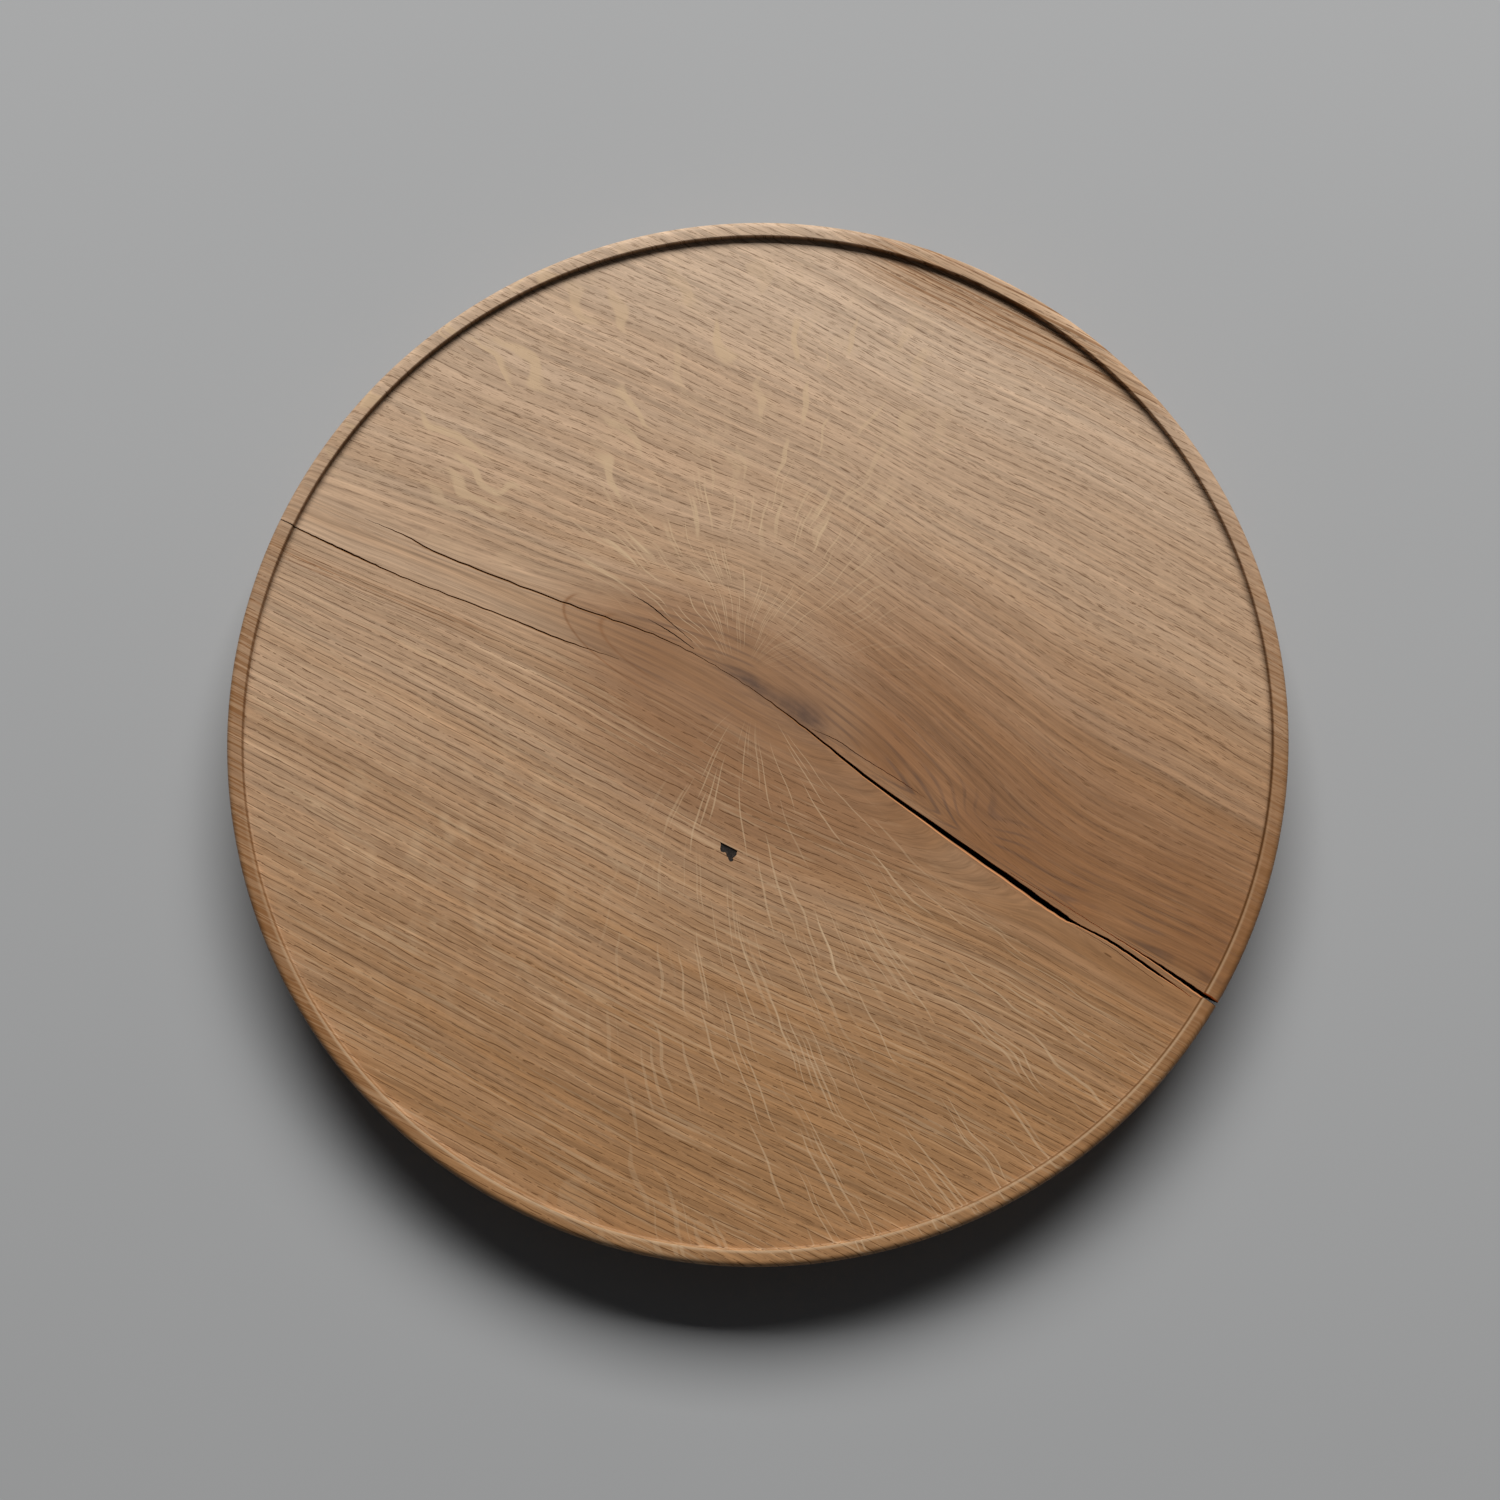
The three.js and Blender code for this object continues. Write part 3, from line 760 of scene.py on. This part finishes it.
class OAKTRAY_OT_body(bpy.types.Operator):
    """Turn the oak body and open its split, knot pocket, key sockets and pilot holes"""

    bl_idname = "oaktray.body"
    bl_label = "Turned Body"

    def execute(self, context):
        shape, finish = context.scene.oaktray_shape, context.scene.oaktray_finish
        body = mesh_object("turned_body", self.turned(shape), oak_material(shape, finish))
        wall = split_wall_material(finish)
        carve(body, [*self.socket_cutters(shape), *self.split_cutters(shape, wall)])
        soften(body, BODY_CRISP)
        self.crease_flats(body, shape)
        keep_piece(body, "oak", "tray_body")
        return {"FINISHED"}

    def turned(self, shape):
        """The plain turned body, from a section with rounded corners."""
        bm = bmesh.new()
        base = shape.radius - shape.undercut
        band_bottom = shape.rim_top - shape.rim_round - shape.band
        chord = Vector((shape.undercut, band_bottom - shape.underside))
        swell = Vector((chord.y, -chord.x)).normalized() * shape.bulge
        bend = Vector((base, shape.underside)) + chord / 2 + swell
        well = shape.radius - shape.rim_width
        verts = section(bm, [
            (0, shape.underside), (base, shape.underside), tuple(bend), (shape.radius, band_bottom),
            (shape.radius, shape.rim_top), (well, shape.rim_top), (well, shape.floor), (0, shape.floor)])
        round_corner(bm, verts[2], chord.length * 0.44, 18)
        round_corner(bm, verts[1], EDGE_EASE, 5)
        round_corner(bm, verts[3], BAND_EASE, 5)
        round_corner(bm, verts[4], shape.rim_round, 10)
        round_corner(bm, verts[5], shape.rim_ease, 5)
        round_corner(bm, verts[6], shape.cove, 5)
        spin_section(bm, shape.turning_steps)
        return bm

    def split_cutters(self, shape, wall):
        """Cutters for the through splits and for the hairline splits beside them."""
        below, above = shape.underside - CUT_OVERRUN, shape.rim_top + CUT_OVERRUN
        through = (
            (below, 0.86, 0), (shape.floor - 0.0016, 0.9, 0), (shape.floor - 0.00035, 0.94, shape.lip * 0.3),
            (shape.floor, 1, shape.lip), (above, 1, shape.lip))
        hair = ((shape.floor - 0.0012, 0.9, 0), (shape.floor, 1, 0), (above, 1, 0))
        cutters = [
            split_cutter("split_cut_" + name, course, shape, through, wall)
            for name, course in (("main", MAIN_SPLIT), ("west", WEST_SPLIT), ("east", EAST_SPLIT))]
        cutters += [
            split_cutter("hair_cut_%d" % number, course, shape, hair, wall)
            for number, course in enumerate(HAIR_SPLITS)]
        return cutters

    def socket_cutters(self, shape):
        """Cutters for the key sockets, the knot pocket and the screws' pilot holes."""
        cutters = []
        for name in KEY_NAMES:
            socket = grown(frame_copy("split_key_" + name), shape.glue_line)
            cutters.append(mesh_object("socket_cut_" + name, socket))
        pocket = grown(knot_blank(), shape.glue_line)
        top = max(corner.co.z for corner in pocket.verts)
        for corner in pocket.verts:
            if corner.co.z > top - MILLIMETRE:
                corner.co.z = shape.floor + CUT_OVERRUN
        cutters.append(mesh_object("knot_cut", pocket))
        for number in FOOT_NUMBERS:
            node = "foot_screw_%d" % number
            bottom, top = shape.underside - PILOT_OVERRUN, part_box(node)[1].z + PILOT_ROOM
            bm = bmesh.new()
            bmesh.ops.create_cone(
                bm, cap_ends=True, segments=24, radius1=PILOT_RADIUS, radius2=PILOT_RADIUS,
                depth=top - bottom, matrix=Matrix.Translation((*middle_of(node).xy, (top + bottom) / 2)))
            cutters.append(mesh_object("pilot_cut_%d" % number, bm))
        return cutters

    def crease_flats(self, body, shape):
        """Keeps the flat floor and underside from shading into their rounded borders."""
        bm = bmesh.new()
        bm.from_mesh(body.data)
        for edge in bm.edges:
            flat = [abs(face.normal.z) > 0.9999 for face in edge.link_faces]
            level = min(abs(edge.verts[0].co.z - height) for height in (shape.floor, shape.underside))
            if any(flat) and not all(flat) and level < TINY:
                edge.smooth = False
        bm.to_mesh(body.data)
        bm.free()


def knot_blank():
    """The knot filling's body, with its sides broken up as a torn knot is."""
    bm = frame_copy("knot_fill")
    upright = [e for e in bm.edges if abs(e.verts[0].co.z - e.verts[1].co.z) > MILLIMETRE]
    rings = [e for e in bm.edges if e not in upright]
    bmesh.ops.subdivide_edges(bm, edges=rings, cuts=3, use_grid_fill=False)
    for corner in bm.verts:
        wave = 0.00022 * math.sin(corner.co.x * 4200) + 0.00018 * math.sin(corner.co.y * 5300)
        corner.co.x += wave
        corner.co.y -= wave * 0.7
    return bm


class OAKTRAY_OT_knot(bpy.types.Operator):
    """Fill the knot pocket with its dark, slightly sunken filling"""

    bl_idname = "oaktray.knot"
    bl_label = "Knot Filling"

    def execute(self, context):
        bm = knot_blank()
        bm.normal_update()
        top = [f for f in bm.faces if f.normal.z > 0.9]
        bmesh.ops.inset_region(bm, faces=top, thickness=KNOT_INSET, depth=-KNOT_SINK)
        made = mesh_object("knot_filling", bm, filler_material())
        soften(made, INLAY_CRISP)
        keep_piece(made, "knot_filler", "knot_fill")
        return {"FINISHED"}


class OAKTRAY_OT_keys(bpy.types.Operator):
    """Make the butterfly keys with eased edges and grain along each key"""

    bl_idname = "oaktray.keys"
    bl_label = "Butterfly Keys"

    def execute(self, context):
        finish = context.scene.oaktray_finish
        for name in KEY_NAMES:
            node = "split_key_" + name
            bm = frame_copy(node)
            ends = sorted(bm.edges, key=lambda e: e.calc_length(), reverse=True)
            heading = (ends[0].verts[1].co - ends[0].verts[0].co).to_2d()
            low = min(corner.co.z for corner in bm.verts)
            rim = [e for e in bm.edges if all(v.co.z < low + TINY for v in e.verts)]
            bmesh.ops.bevel(
                bm, geom=rim, offset=KEY_EASE, offset_type="OFFSET", segments=2, profile=0.5,
                affect="EDGES", material=-1)
            made = mesh_object("butterfly_key_" + name, bm)
            angle = math.atan2(heading.y, heading.x)
            made.data.materials.append(key_material(finish, name, middle_of(node), angle))
            soften(made, INLAY_CRISP)
            keep_piece(made, "key_oak", node)
        return {"FINISHED"}


class OAKTRAY_OT_feet(bpy.types.Operator):
    """Make the rubber feet with rounded soles"""

    bl_idname = "oaktray.feet"
    bl_label = "Rubber Feet"

    def execute(self, context):
        rubber = rubber_material()
        for number in FOOT_NUMBERS:
            node = "foot_%d" % number
            low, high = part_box(node)
            washer_low, washer_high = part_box("foot_washer_%d" % number)
            radius = (high.x - low.x) / 2
            bore = (washer_high.x - washer_low.x) / 2 + WASHER_ROOM
            bm = bmesh.new()
            verts = section(bm, [
                (bore, 0), (radius - FOOT_TAPER, 0), (radius, high.z), (FOOT_HOLE, high.z),
                (FOOT_HOLE, washer_high.z), (bore, washer_high.z)])
            round_corner(bm, verts[1], SOLE_ROUND, 6)
            round_corner(bm, verts[2], SMALL_EASE, 2)
            round_corner(bm, verts[0], BORE_ROUND, 3)
            spin_section(bm, FITTING_STEPS)
            bmesh.ops.translate(bm, verts=bm.verts, vec=(*middle_of(node).xy, 0))
            made = mesh_object("rubber_foot_%d" % number, bm, rubber)
            soften(made, FITTING_CRISP)
            keep_piece(made, "foot_rubber", node)
        return {"FINISHED"}


class OAKTRAY_OT_hardware(bpy.types.Operator):
    """Make the washers and the cross-head screws that hold the feet"""

    bl_idname = "oaktray.hardware"
    bl_label = "Washers and Screws"

    def execute(self, context):
        steel = steel_material()
        for number in FOOT_NUMBERS:
            self.washer("foot_washer_%d" % number, number, steel)
            self.screw("foot_screw_%d" % number, number, steel)
        return {"FINISHED"}

    def washer(self, node, number, steel):
        """A flat ring with eased edges."""
        low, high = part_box(node)
        radius = (high.x - low.x) / 2
        bm = bmesh.new()
        verts = section(bm, [
            (WASHER_HOLE, low.z), (radius, low.z), (radius, high.z), (WASHER_HOLE, high.z)])
        for corner in verts:
            round_corner(bm, corner, WASHER_EASE, 3)
        spin_section(bm, FITTING_STEPS)
        bmesh.ops.translate(bm, verts=bm.verts, vec=(*middle_of(node).xy, 0))
        made = mesh_object("steel_washer_%d" % number, bm, steel)
        soften(made, FITTING_CRISP)
        keep_piece(made, "hardware_steel", node)

    def screw(self, node, number, steel):
        """A pan head with a cross recess, a shank and a point."""
        low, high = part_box(node)
        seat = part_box("foot_washer_%d" % number)[0].z
        head = (high.x - low.x) / 2
        bm = bmesh.new()
        verts = section(bm, [
            (0, low.z), (head, low.z), (head, seat), (SHANK_RADIUS, seat),
            (SHANK_RADIUS, high.z - SCREW_POINT), (0, high.z)])
        round_corner(bm, verts[1], HEAD_ROUND, 8)
        round_corner(bm, verts[2], SMALL_EASE, 3)
        spin_section(bm, SCREW_STEPS)
        made = mesh_object("foot_screw_head_%d" % number, bm, steel)
        cutters = []
        for turn in (0, 90):
            slot = bmesh.new()
            bmesh.ops.create_cube(slot, size=1)
            bmesh.ops.scale(slot, verts=slot.verts, vec=RECESS_SIZE)
            bmesh.ops.rotate(slot, verts=slot.verts, matrix=Matrix.Rotation(math.radians(turn), 3, "Z"))
            bmesh.ops.translate(slot, verts=slot.verts, vec=(0, 0, low.z))
            cutters.append(mesh_object("recess_cut_%d" % turn, slot, steel))
        carve(made, cutters)
        made.data.transform(Matrix.Translation((*middle_of(node).xy, 0)))
        soften(made, FITTING_CRISP)
        keep_piece(made, "hardware_steel", node)


def direction_of(azimuth, elevation, far):
    """Direction at an azimuth from the tray's far side, or from its front where far is -1."""
    level = math.cos(elevation)
    return Vector((math.sin(azimuth) * level, far * math.cos(azimuth) * level, math.sin(elevation)))


class OAKTRAY_OT_stage(bpy.types.Operator):
    """Lay the plain floor, hang the soft window light and set the camera"""

    bl_idname = "oaktray.stage"
    bl_label = "Stage"

    def execute(self, context):
        look = context.scene.oaktray_stage
        bm = bmesh.new()
        bmesh.ops.create_circle(bm, cap_ends=True, segments=128, radius=STAGE_RADIUS)
        mesh_object("stage_floor", bm, stage_material(look))
        self.light(context, look)
        self.camera(context, look)
        context.scene.view_settings.view_transform = "Standard"
        return {"FINISHED"}

    def light(self, context, look):
        """One large soft window beyond the tray, and a dim fill from all round."""
        window = bpy.data.lights.new("window", "AREA")
        window.shape = "RECTANGLE"
        window.size, window.size_y = look.window_size
        window.energy = look.window_power
        window.color = (1.0, 0.975, 0.95)
        made = bpy.data.objects.new("window", window)
        direction = direction_of(look.window_azimuth, look.window_elevation, 1)
        made.location = direction * look.window_distance
        made.rotation_mode = "QUATERNION"
        made.rotation_quaternion = direction.to_track_quat("Z", "Y")
        context.collection.objects.link(made)
        world = bpy.data.worlds.new("soft_room")
        world.use_nodes = True
        background = world.node_tree.nodes["Background"]
        background.inputs["Color"].default_value = (0.93, 0.96, 1.0, 1)
        background.inputs["Strength"].default_value = look.fill_strength
        context.scene.world = world

    def camera(self, context, look):
        """Camera at the photograph's angle, with the tray's far side at the top of the picture."""
        direction = direction_of(look.azimuth, look.elevation, -1)
        right = Vector((0, 1, 0)).cross(direction).normalized()
        up = direction.cross(right)
        data = bpy.data.cameras.new("camera")
        data.lens = look.lens
        made = bpy.data.objects.new("camera", data)
        made.matrix_world = Matrix.Translation(Vector(look.aim) + direction * look.distance) @ Matrix(
            (right, up, direction)).transposed().to_4x4()
        context.collection.objects.link(made)
        context.scene.camera = made


OPERATORS = (
    OAKTRAY_OT_body, OAKTRAY_OT_knot, OAKTRAY_OT_keys, OAKTRAY_OT_feet, OAKTRAY_OT_hardware, OAKTRAY_OT_stage)


class OAKTRAY_PT_panel(bpy.types.Panel):
    """Lists the tray's pieces and settings"""

    bl_idname = "OAKTRAY_PT_panel"
    bl_label = "Oak Tray"
    bl_space_type = "VIEW_3D"
    bl_region_type = "UI"
    bl_category = "Oak Tray"

    def draw(self, context):
        for operator in OPERATORS:
            self.layout.operator(operator.bl_idname)
        for group in (context.scene.oaktray_shape, context.scene.oaktray_finish, context.scene.oaktray_stage):
            box = self.layout.box()
            for name in group.__annotations__:
                box.prop(group, name)


SETTINGS = {"oaktray_shape": TrayShape, "oaktray_finish": OakFinish, "oaktray_stage": StageLook}
CLASSES = (*SETTINGS.values(), *OPERATORS, OAKTRAY_PT_panel)


def register():
    for cls in CLASSES:
        bpy.utils.register_class(cls)
    for name, group in SETTINGS.items():
        setattr(bpy.types.Scene, name, PointerProperty(type=group))


def unregister():
    for name in SETTINGS:
        delattr(bpy.types.Scene, name)
    for cls in reversed(CLASSES):
        bpy.utils.unregister_class(cls)


def main():
    register()
    bpy.ops.oaktray.body()
    bpy.ops.oaktray.knot()
    bpy.ops.oaktray.keys()
    bpy.ops.oaktray.feet()
    bpy.ops.oaktray.hardware()
    bpy.ops.oaktray.stage()


if __name__ == "__main__":
    main()
